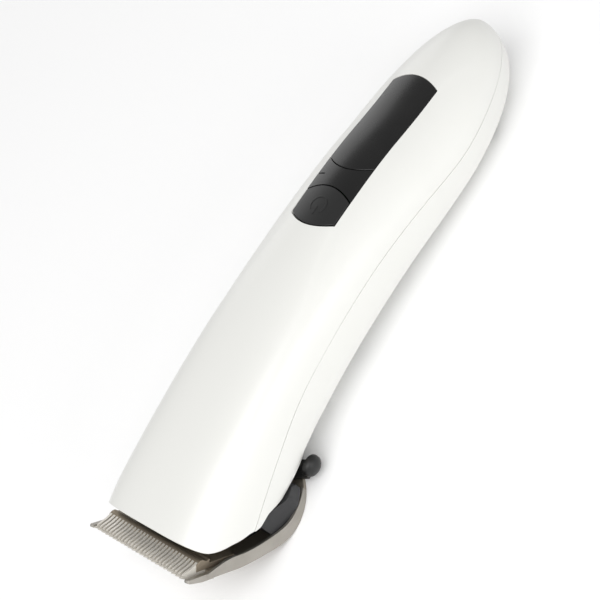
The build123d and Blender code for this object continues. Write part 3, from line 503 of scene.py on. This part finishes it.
def top_skin(inset, drop):
    """Grid of the top shell's skin, rows along the body, columns from the right seam to the left one.

    Rows bow with the arcs of the panel; the columns at the panel's sides keep its half width.
    """
    half_columns = np.concatenate([
        np.linspace(0.0, 1.0, 44, endpoint=False),
        1 + np.linspace(0.0, 1.0, 19),
    ])
    stations = np.concatenate([
        np.linspace(19.5, 98.0, 118, endpoint=False),
        np.linspace(98.0, 110.9, 15, endpoint=False),
        np.linspace(110.9, 152.5, 64, endpoint=False),
        np.linspace(152.5, 170.0, 28, endpoint=False),
        TAIL_END - 10.0 * (1 - np.linspace(0.0, 1.0, 26)) ** 2,
    ])
    stations[-1] = TAIL_END - 1e-6
    bow = np.interp(stations, [60.0, 98.0, 152.5, 172.0], [0.0, 2.5, -2.5, 0.0])
    rows, columns = np.meshgrid(stations, half_columns, indexing="ij")
    bows = np.broadcast_to(bow[:, None], rows.shape)
    place = rows
    inside = np.clip(columns, 1.0, 2.0) - 1.0
    for _ in range(3):
        # x of this column inside the panel's width gives how far the row bows back
        across = 1.0 - inside
        place = rows + bows * np.clip(across, 0, 1) ** 2
        side_x = np.minimum(PANEL_HALF, 0.62 * hull(place, np.zeros_like(place), True)[0])
        side_turn = turn_at(place, side_x)
    # turn from the seam to the panel side, then to the crown with even steps in x
    outer_turn = side_turn * np.clip(columns, 0.0, 1.0)
    inner_turn = turn_at(place, side_x * (1.0 - inside))
    turn = np.where(columns <= 1.0, outer_turn, inner_turn)
    front = front_edge(turn[0], True)
    share = np.clip((rows - 19.5) / 40.0, 0.0, 1.0)
    ease = (1 - share) ** 3
    place = np.clip(place + (front[None, :] - 19.5) * ease, None, TAIL_END - inset * 0.999 - 1e-6)
    x, z = hull(place, turn, True, inset)
    seam_lift = SEAM_GAP / 2 * (1 - np.clip(turn * 6, 0, 1))
    z = z + seam_lift - drop * crease_depth(x, place)
    right = np.stack([x, place, z], axis=-1)
    left = right[:, -2::-1] * (-1, 1, 1)
    return np.concatenate([right, left], axis=1), stations, half_columns


def make_top_shell():
    """Top shell: outer and inner skins over one grid, open under the panel."""
    outer, stations, half_columns = top_skin(0.0, 1.0)
    inner, _, _ = top_skin(WALL, 0.0)
    rows, columns = outer.shape[:2]
    quads = grid_quads(rows, columns)
    row = quads[:, 0] // columns
    column = quads[:, 0] % columns
    first = int(np.searchsorted(stations, 98.0 - 1e-6))
    last = int(np.searchsorted(stations, 152.5 - 1e-6))
    edge = int(np.searchsorted(half_columns, 1.0 - 1e-6))
    open_panel = (row >= first) & (row < last) & (column >= edge) & (column < columns - 1 - edge)
    points, faces = walled(outer.reshape(-1, 3), inner.reshape(-1, 3), quads[~open_panel])
    return points, faces


def low_skin(inset):
    """Grid of the bottom shell's skin from the right seam under the keel to the left one."""
    turns = np.linspace(0.0, 1.0, 60)
    stations = np.concatenate([
        np.linspace(19.5, 150.0, 170, endpoint=False),
        np.linspace(150.0, 170.0, 30, endpoint=False),
        TAIL_END - 10.0 * (1 - np.linspace(0.0, 1.0, 26)) ** 2,
    ])
    stations[-1] = TAIL_END - 1e-6
    rows, turn = np.meshgrid(stations, turns, indexing="ij")
    front = front_edge(turn[0], False)
    share = np.clip((rows - 19.5) / 50.0, 0.0, 1.0)
    place = rows + (front[None, :] - 19.5) * (1 - share) ** 2
    place = np.clip(place, None, TAIL_END - inset * 0.999 - 1e-6)
    x, z = hull(place, turn, False, inset)
    z = z - SEAM_GAP / 2 * (1 - np.clip(turn * 6, 0, 1))
    right = np.stack([x, place, z], axis=-1)
    left = right[:, -2::-1] * (-1, 1, 1)
    return np.concatenate([right, left], axis=1)


# Cuts in the bottom shell: hinge notch, lever recess swept about the lever's pivot, and screw wells.
BELOW = -2.0
NOTCH = [(-10, 34), (10, 34), (10, 50), (-10, 50)]
NOTCH_TOP = 9.5
PIVOT = 37.0
RECESS_ANGLES = (3.0, 54.0)
RECESS_INNER = 16.9
RECESS_OUTER = 30.0
RECESS_TOP = 10.6
SCREW_WELLS = [(8.0, 81.0), (-8.0, 81.0), (8.5, 155.5), (-8.5, 155.5)]
WELL_RADIUS = 2.0
WELL_TOP = 6.5


def make_bottom_shell():
    """Bottom shell: outer and inner skins over one grid."""
    outer = low_skin(0.0)
    inner = low_skin(WALL)
    rows, columns = outer.shape[:2]
    return walled(outer.reshape(-1, 3), inner.reshape(-1, 3), grid_quads(rows, columns))


class CLIPPER_OT_shells(bpy.types.Operator):
    """Both housing shells."""

    bl_idname = "clipper.shells"
    bl_label = "Housing shells"

    def execute(self, context):
        edge = context.scene.clipper_sizes.edge / MM
        points, faces = make_top_shell()
        top = piece("top_shell_skin", points, faces, "housing", None)
        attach(top, "housing")
        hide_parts("top_shell")
        bevel(top, edge)
        points, faces = make_bottom_shell()
        low = piece("bottom_shell_skin", points, faces, "housing", None)
        cutters = [prism("notch_cut", NOTCH, BELOW, NOTCH_TOP, None)]
        a = np.radians(np.linspace(*RECESS_ANGLES, 24))
        inner_arc = np.stack([RECESS_INNER * np.cos(a), PIVOT + RECESS_INNER * np.sin(a)], axis=1)
        outer_arc = np.stack([RECESS_OUTER * np.cos(a), PIVOT + RECESS_OUTER * np.sin(a)], axis=1)[::-1]
        cutters.append(prism("recess_cut", np.concatenate([inner_arc, outer_arc]), BELOW, RECESS_TOP, None))
        for x, station in SCREW_WELLS:
            cutters.append(prism("well_cut", disc(x, station, WELL_RADIUS), BELOW, WELL_TOP, None))
        cut_by(low, cutters)
        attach(low, "housing")
        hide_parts("bottom_shell")
        bevel(low, edge)
        return {"FINISHED"}


# ------------------------------------------------------------------ top panel
def zone_grid(front, rear, half, sink, inset_floor, columns=45, rows=40):
    """Patch of the top skin between two arcs; each row's bow runs from the front arc's to the rear's."""
    share = np.linspace(0.0, 1.0, rows)[:, None]
    across = np.linspace(-1.0, 1.0, columns)[None, :]
    bow = 1 - across ** 2
    begin = front[0] + (front[1] - front[0]) * bow
    finish = rear[0] + (rear[1] - rear[0]) * bow
    station = begin + (finish - begin) * share
    x = np.broadcast_to(across * half, station.shape)
    turn = turn_at(station, x)
    _, z = hull(station, turn, True)
    top = np.stack([x, station, z - sink], axis=-1)
    low = np.stack([x, station, z - inset_floor], axis=-1)
    return top, low


def zone_piece(name, front, rear, half, finish, body, sink=0.0, thick=1.7):
    """Closed patch of the panel."""
    top, low = zone_grid(front, rear, half, sink, thick)
    rows, columns = top.shape[:2]
    points, faces = walled(top.reshape(-1, 3), low.reshape(-1, 3), grid_quads(rows, columns))
    return piece(name, points, faces, finish, body)


def shifted(pair, amount):
    """A corner and apex pair moved along the body."""
    return (pair[0] + amount, pair[1] + amount)


class CLIPPER_OT_panel(bpy.types.Operator):
    """Black top panel, its indicator slit and the power button with its mark."""

    bl_idname = "clipper.panel"
    bl_label = "Top panel and button"

    def execute(self, context):
        long_panel = zone_piece("upper_panel_skin", shifted(MIDDLE_REAR, 0.12), shifted(PANEL_REAR, -0.12),
                                PANEL_HALF - 0.12, "panel", "housing", 0.0)
        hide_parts("upper_panel")
        bevel(long_panel, 0.22, 3)
        middle = zone_piece("middle_panel_skin", shifted(BUTTON_REAR, 0.16), shifted(MIDDLE_REAR, -0.12),
                            PANEL_HALF - 0.12, "panel", None, 0.03)
        slit_outline = [(-7.9, 113.75), (-5.3, 114.05), (-5.3, 114.45), (-7.9, 114.15)]
        slit = prism("slit_cut", slit_outline, 20, 45, None)
        cut_by(middle, [slit])
        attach(middle, "housing")
        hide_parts("middle_panel")
        bevel(middle, 0.12, 2)
        lens_low = crown_height(np.array(-6.6), np.array(114.1)) - 1.4
        lens = prism("indicator_lens", [(-7.8, 113.8), (-5.4, 114.08), (-5.4, 114.4), (-7.8, 114.1)],
                     float(lens_low), float(lens_low) + 0.9, "lens", "housing")
        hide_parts("indicator_light")
        button = zone_piece("power_button_cap", shifted(PANEL_FRONT, 0.35), shifted(BUTTON_REAR, -0.17),
                            PANEL_HALF - 0.35, "button", "button", 0.0)
        bevel(button, 0.25, 3)
        prism("power_button_stem", disc(0, 104.4, 2.0), 30.3, 37.0, "button", "button")
        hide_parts("power_button")
        self.mark()
        return {"FINISHED"}

    def mark(self):
        """Power mark: a ring open towards the head, and a bar in the opening, raised 0.12 mm."""
        centre, radius, line = 104.6, 2.55, 0.27
        a = np.radians(np.linspace(-90 + 38, 270 - 38, 61))
        rings = np.array([[radius - line], [radius + line]])
        self.raised("power_mark_ring", rings * np.cos(a), centre + rings * np.sin(a))
        bar_y = centre + np.linspace(-3.3, -0.5, 9)
        x = np.stack([np.full(9, -line), np.full(9, line)])
        self.raised("power_mark_bar", x, np.stack([bar_y, bar_y]))

    def raised(self, name, x, y):
        """Thin raised ribbon on the button between two edge lines."""
        z = crown_height(x, y)
        top = np.stack([x, y, z + 0.12], axis=-1).reshape(-1, 3)
        low = np.stack([x, y, z - 0.25], axis=-1).reshape(-1, 3)
        points, faces = walled(top, low, grid_quads(2, x.shape[1]))
        ribbon = piece(name, points, faces, "button", "button")
        bevel(ribbon, 0.08, 2)


# ------------------------------------------------------------------ blades
CUTTER_HALF = 18.2
CUTTER_TEETH = 28
CUTTER_PITCH = 1.3
COMB_TEETH = 25
COMB_PITCH = 1.6


def teeth(name, profile, widths, centres, finish, body):
    """Row of like teeth.

    The profile is a list of (run, low lift, high lift) along the blade plane; widths gives the half
    width at each run.  Every tooth is a four-sided tube along that profile, closed at both ends.
    """
    profile = np.asarray(profile, dtype=float)
    widths = np.asarray(widths, dtype=float)
    count = len(profile)
    run = profile[:, 0]
    ring = np.stack([
        np.stack([-widths, run, profile[:, 1]], axis=1),
        np.stack([widths, run, profile[:, 1]], axis=1),
        np.stack([widths * 0.8, run, profile[:, 2]], axis=1),
        np.stack([-widths * 0.8, run, profile[:, 2]], axis=1),
    ], axis=1)
    base = ring.reshape(-1, 3)
    station, height = along(base[:, 1], base[:, 2])
    one = np.stack([base[:, 0], station, height], axis=1)
    centres = np.asarray(centres, dtype=float)
    points = one[None] + np.stack([centres, centres * 0, centres * 0], axis=1)[:, None, :]
    quads = []
    for k in range(count - 1):
        for side in range(4):
            after = (side + 1) % 4
            quads.append((k * 4 + side, k * 4 + after, k * 4 + 4 + after, k * 4 + 4 + side))
    quads.append((0, 1, 2, 3))
    last = (count - 1) * 4
    quads.append((last + 3, last + 2, last + 1, last))
    quads = np.array(quads)
    faces = quads[None] + (np.arange(len(centres)) * len(one))[:, None, None]
    made = piece(name, points.reshape(-1, 3), faces.reshape(-1, 4), finish, body)
    sharpen(made, 30)
    return made


def side_outline(pairs):
    """Blade-plane (run, lift) pairs as side-view points."""
    return np.array([along(run, lift) for run, lift in pairs])


COMB_HALF = 20.35
COMB_REAR = 27.0
COMB_REACH = 19.0
# Step, outer station and height, inner station and height of the comb sheet from tooth root to rear end.
SHEET = np.array([
    (0, 3.84, 20.6, 5.3, 21.7),
    (1, 4.8, 19.5, 6.3, 20.45),
    (2, 7.4, 16.2, 8.7, 17.35),
    (3, 10.4, 12.4, 11.6, 13.65),
    (4, 13.9, 8.8, 14.9, 9.6),
    (5, 17.7, 5.4, 18.4, 6.2),
    (6, 21.6, 2.2, 22.2, 3.5),
    (7, 25.3, 0.45, 25.5, 2.0),
    (8, 28.9, 0.0, 28.9, 1.5),
    (9, 34.6, 0.0, 34.6, 1.5),
    (10, 40.3, 0.0, 40.3, 1.5),
    (11, 45.9, 0.0, 45.9, 1.5),
])
# Step, foot station and height, top station and height of the comb's side rims from front to rear.
RIM = np.array([
    (0, 3.2, 21.4, 4.2, 22.6),
    (1, 6.3, 17.6, 8.6, 19.8),
    (2, 8.6, 14.65, 11.6, 17.2),
    (3, 11.5, 11.25, 14.4, 13.8),
    (4, 14.6, 8.15, 17.3, 11.0),
    (5, 18.2, 4.95, 20.7, 8.2),
    (6, 22.2, 1.9, 24.2, 5.8),
    (7, 25.6, 0.4, 27.0, 4.4),
    (8, 29.6, 0.0, 30.0, 3.6),
    (9, 33.8, 0.0, 34.0, 2.9),
    (10, 38.0, 0.0, 38.0, 1.9),
])


def comb_width(station):
    """Half width of the comb in plan: straight sides, then an elliptical rear end."""
    past = np.clip((station - COMB_REAR) / COMB_REACH, 0.0, 0.9995)
    return COMB_HALF * np.sqrt(1 - past ** 2)


def comb_sheet():
    """Grid over step and share of the width; both faces follow smooth curves through the sheet's table."""
    step = np.linspace(0.0, 11.0, 133)[:, None]
    share = np.sin(np.linspace(-np.pi / 2, np.pi / 2, 49))[None, :]
    faces = []
    for column in (1, 3):
        station = through(SHEET, column, step)
        height = through(SHEET, column + 1, step)
        x = (comb_width(station) - 0.12) * share
        station, height = np.broadcast_to(station, x.shape), np.broadcast_to(height, x.shape)
        faces.append(np.stack([x, station, height], axis=-1).reshape(-1, 3))
    return walled(faces[0], faces[1], grid_quads(133, 49))


def rim_tube(side, thick=0.9):
    """Four-cornered tube along the comb's edge, from the guard tooth round to the rear."""
    step = np.linspace(0.0, 10.0, 121)
    low = np.stack([through(RIM, 1, step), through(RIM, 2, step)], axis=1)
    top = np.stack([through(RIM, 3, step), through(RIM, 4, step)], axis=1)
    ring = []
    for place, inward in ((low, 0.0), (top, 0.0), (top, thick), (low, thick)):
        x = comb_width(place[:, 0]) - inward
        ring.append(np.stack([side * x, place[:, 0], place[:, 1] + 0.05], axis=1))
    points = np.stack(ring, axis=1).reshape(-1, 3)
    row, corner = np.meshgrid(np.arange(120), np.arange(4), indexing="ij")
    a = (row * 4 + corner).ravel()
    b = (row * 4 + (corner + 1) % 4).ravel()
    quads = np.stack([a, b, b + 4, a + 4], axis=1)
    caps = np.array([(0, 3, 2, 1), (480, 481, 482, 483)])
    return points, np.concatenate([quads, caps])


class CLIPPER_OT_blades(bpy.types.Operator):
    """Fixed comb blade and moving cutter, with their teeth."""

    bl_idname = "clipper.blades"
    bl_label = "Blades"

    def execute(self, context):
        self.cutter()
        self.comb()
        return {"FINISHED"}

    def comb(self):
        """Comb: a curved steel sheet, raised side rims, fine teeth and a broad guard tooth at each side."""
        points, faces = comb_sheet()
        sheet = piece("comb_sheet", points, faces, "steel", None)
        holes = [prism("screw_cut", disc(x, 30.0, 2.3), -1, 3, None) for x in (-12.5, 12.5)]
        holes.append(prism("rivet_cut", disc(0, 37.0, 1.6), -1, 3, None))
        cut_by(sheet, holes)
        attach(sheet, "blade_set")
        bevel(sheet, 0.15, 2, 40)
        for side, word in ((1, "right"), (-1, "left")):
            points, faces = rim_tube(side)
            rim = piece(f"comb_rim_{word}", points, faces, "rim", "blade_set")
            bevel(rim, 0.18, 2, 40)
        profile = [
            (-0.1, -0.1, 0.02), (0.2, -0.3, 0.04), (1.0, -0.66, 0.05), (2.1, -1.02, 0.05),
            (4.0, -1.5, 0.05), (5.6, -1.86, 0.05), (7.5, -1.88, 0.05), (9.4, -1.84, 0.05),
        ]
        centres = (np.arange(COMB_TEETH) - (COMB_TEETH - 1) / 2) * COMB_PITCH
        teeth("comb_teeth", profile, [0.1, 0.16, 0.26, 0.34, 0.4, 0.43, 0.43, 0.43], centres[1:-1],
              "fins", "blade_set")
        guard = [
            (0.3, -0.62, -0.1), (0.45, -0.78, 0.0), (0.8, -0.95, 0.0), (1.2, -1.15, -0.1),
            (2.4, -1.4, -0.12), (5.6, -1.9, -0.12), (9.4, -1.84, -0.12),
        ]
        ends = teeth("comb_guards", guard, [0.2, 0.48, 0.72, 0.8, 0.8, 0.8, 0.8],
                     [-COMB_HALF + 0.8, COMB_HALF - 0.8], "rim", "blade_set")
        bevel(ends, 0.2, 2, 30)
        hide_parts("comb_blade")

    def cutter(self):
        """Cutter: a ridge and plate across the width, with thin ground fins in front."""
        ridge = side_outline([
            (5.3, 0.1), (5.3, 2.3), (6.0, 2.9), (6.5, 3.15), (7.2, 3.2), (7.7, 2.95), (8.3, 2.6), (9.0, 2.5),
            (9.7, 2.9), (9.7, 1.7), (18.6, 1.7), (18.6, 0.1),
        ])
        block = prism("cutter_body", ridge, -CUTTER_HALF, CUTTER_HALF, "cutter", "cutter", across=True)
        bevel(block, 0.12, 2, 40)
        centres = (np.arange(CUTTER_TEETH) - (CUTTER_TEETH - 1) / 2) * CUTTER_PITCH
        teeth(
            "cutter_teeth",
            [
                (0.9, 0.1, 0.4), (1.3, 0.1, 0.65), (2.0, 0.1, 0.9), (3.9, 0.1, 1.6), (5.2, 0.1, 2.3),
                (6.0, 0.1, 2.85),
            ],
            [0.2, 0.3, 0.38, 0.44, 0.47, 0.47], centres, "fins", "cutter")
        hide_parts("cutter_blade")


# ------------------------------------------------------------------ thumb tab of the lever
def tab_dome():
    """Thumb tab: a domed disc standing on its flat inner face.

    A square grid (s, t) is drawn onto a disc by u = s sqrt(1 - t^2 / 2), v = t sqrt(1 - s^2 / 2); the
    face stands 0.4 + 2.15 (1 - u^2 - v^2)^0.42 mm off the inner face.
    """
    s, t = np.meshgrid(np.linspace(-1, 1, 41), np.linspace(-1, 1, 41), indexing="ij")
    u = s * np.sqrt(1 - t ** 2 / 2)
    v = t * np.sqrt(1 - s ** 2 / 2)
    station = 44.1 + 3.2 * u
    height = 4.75 + 3.05 * v
    rise = 0.4 + 2.15 * np.clip(1 - u ** 2 - v ** 2, 0.0, 1.0) ** 0.42
    outer = np.stack([16.9 + rise, station, height], axis=-1).reshape(-1, 3)
    inner = np.stack([16.9 + 0 * rise, station, height], axis=-1).reshape(-1, 3)
    return walled(outer, inner, grid_quads(41, 41))


class CLIPPER_OT_lever(bpy.types.Operator):
    """Thumb tab of the adjusting lever."""

    bl_idname = "clipper.lever"
    bl_label = "Lever tab"

    def execute(self, context):
        points, faces = tab_dome()
        tab = piece("lever_tab", points, faces, "lever", "lever")
        bevel(tab, 0.15, 2, 50)
        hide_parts("lever_grip")
        return {"FINISHED"}


# ------------------------------------------------------------------ frame pieces kept from the CAD
class CLIPPER_OT_inside(bpy.types.Operator):
    """Finishes on every piece that keeps its CAD shape."""

    bl_idname = "clipper.inside"
    bl_label = "Inner and plain pieces"

    def execute(self, context):
        for name, finish in NODE_FINISHES.items():
            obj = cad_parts[name]
            obj.data.materials.clear()
            obj.data.materials.append(FINISHES[finish])
        for name, width in (("blade_frame", 0.3), ("adjust_lever", 0.2), ("socket_ring", 0.2)):
            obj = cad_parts[name]
            weld(obj)
            bevel(obj, width, 2, 35)
        return {"FINISHED"}


# ------------------------------------------------------------------ stage
CAMERA_PLACE = (297.75, -92.54, 356.19)
CAMERA_RIGHT = (0.7012, 0.50734, -0.50093)
CAMERA_UP = (-0.27862, 0.84172, 0.46248)
CAMERA_LENS = 99.0


class CLIPPER_OT_stage(bpy.types.Operator):
    """Floor, soft lights and camera."""

    bl_idname = "clipper.stage"
    bl_label = "Stage"

    def execute(self, context):
        scene = context.scene
        reach = 3000.0
        drop = -0.1
        corners = [(x * reach, y * reach, drop) for x, y in ((-1, -1), (1, -1), (1, 1), (-1, 1))]
        mesh = bpy.data.meshes.new("floor")
        mesh.from_pydata([tuple(c * MM for c in p) for p in corners], [], [(0, 1, 2, 3)])
        floor = bpy.data.objects.new("floor", mesh)
        scene.collection.objects.link(floor)
        paint = bpy.data.materials.new("matt white paper")
        paint.use_nodes = True
        shader = paint.node_tree.nodes["Principled BSDF"]
        shader.inputs["Base Color"].default_value = linear("#FEFEFE")
        shader.inputs["Roughness"].default_value = 0.9
        floor.data.materials.append(paint)
        world = bpy.data.worlds.new("studio air")
        world.use_nodes = True
        world.node_tree.nodes["Background"].inputs["Color"].default_value = linear("#FFFFFF")
        world.node_tree.nodes["Background"].inputs["Strength"].default_value = 0.44
        scene.world = world
        scene.view_settings.view_transform = "Standard"
        self.softbox("key_softbox", (320, -340, 800), 800, 6.4)
        self.softbox("right_softbox", (800, 20, 200), 500, 1.9)
        self.softbox("left_softbox", (-740, 400, 230), 600, 1.35)
        right = Vector(CAMERA_RIGHT).normalized()
        up = Vector(CAMERA_UP)
        up = (up - right * up.dot(right)).normalized()
        back = right.cross(up)
        place = Matrix((right, up, back)).transposed().to_4x4()
        place.translation = Vector(CAMERA_PLACE) * MM
        lens = bpy.data.cameras.new("camera")
        lens.lens = CAMERA_LENS
        lens.sensor_width = 36.0
        camera = bpy.data.objects.new("camera", lens)
        camera.matrix_world = place
        lens.clip_start = 0.01
        lens.clip_end = 10.0
        scene.collection.objects.link(camera)
        scene.camera = camera
        return {"FINISHED"}

    def softbox(self, name, place, size, power):
        """Square area light aimed at the clipper; place and size in millimetres."""
        light = bpy.data.lights.new(name, "AREA")
        light.shape = "SQUARE"
        light.size = size * MM
        light.energy = power
        holder = bpy.data.objects.new(name, light)
        position = Vector(place) * MM
        holder.location = position
        holder.rotation_euler = (-position).to_track_quat("-Z", "Y").to_euler()
        bpy.context.scene.collection.objects.link(holder)


class CLIPPER_PT_panel(bpy.types.Panel):
    """Clipper builder's buttons and settings."""

    bl_idname = "CLIPPER_PT_panel"
    bl_label = "Hair clipper"
    bl_space_type = "VIEW_3D"
    bl_region_type = "UI"
    bl_category = "Clipper"

    def draw(self, context):
        for kind in STEPS:
            self.layout.operator(kind.bl_idname)
        self.layout.prop(context.scene.clipper_sizes, "edge")
        self.layout.prop(context.scene.clipper_colours, "housing")


STEPS = [CLIPPER_OT_inside, CLIPPER_OT_shells, CLIPPER_OT_panel, CLIPPER_OT_blades, CLIPPER_OT_lever,
         CLIPPER_OT_stage]
CLASSES = [ClipperColours, ClipperSizes, *STEPS, CLIPPER_PT_panel]


def register():
    """Adds the add-on's classes and scene settings."""
    for kind in CLASSES:
        bpy.utils.register_class(kind)
    bpy.types.Scene.clipper_colours = bpy.props.PointerProperty(type=ClipperColours)
    bpy.types.Scene.clipper_sizes = bpy.props.PointerProperty(type=ClipperSizes)


def unregister():
    """Removes them again."""
    del bpy.types.Scene.clipper_sizes
    del bpy.types.Scene.clipper_colours
    for kind in reversed(CLASSES):
        bpy.utils.unregister_class(kind)


def main():
    """Builds everything in order."""
    register()
    make_finishes()
    bpy.ops.clipper.inside()
    bpy.ops.clipper.shells()
    bpy.ops.clipper.panel()
    bpy.ops.clipper.blades()
    bpy.ops.clipper.lever()
    bpy.ops.clipper.stage()


if __name__ == "__main__":
    main()
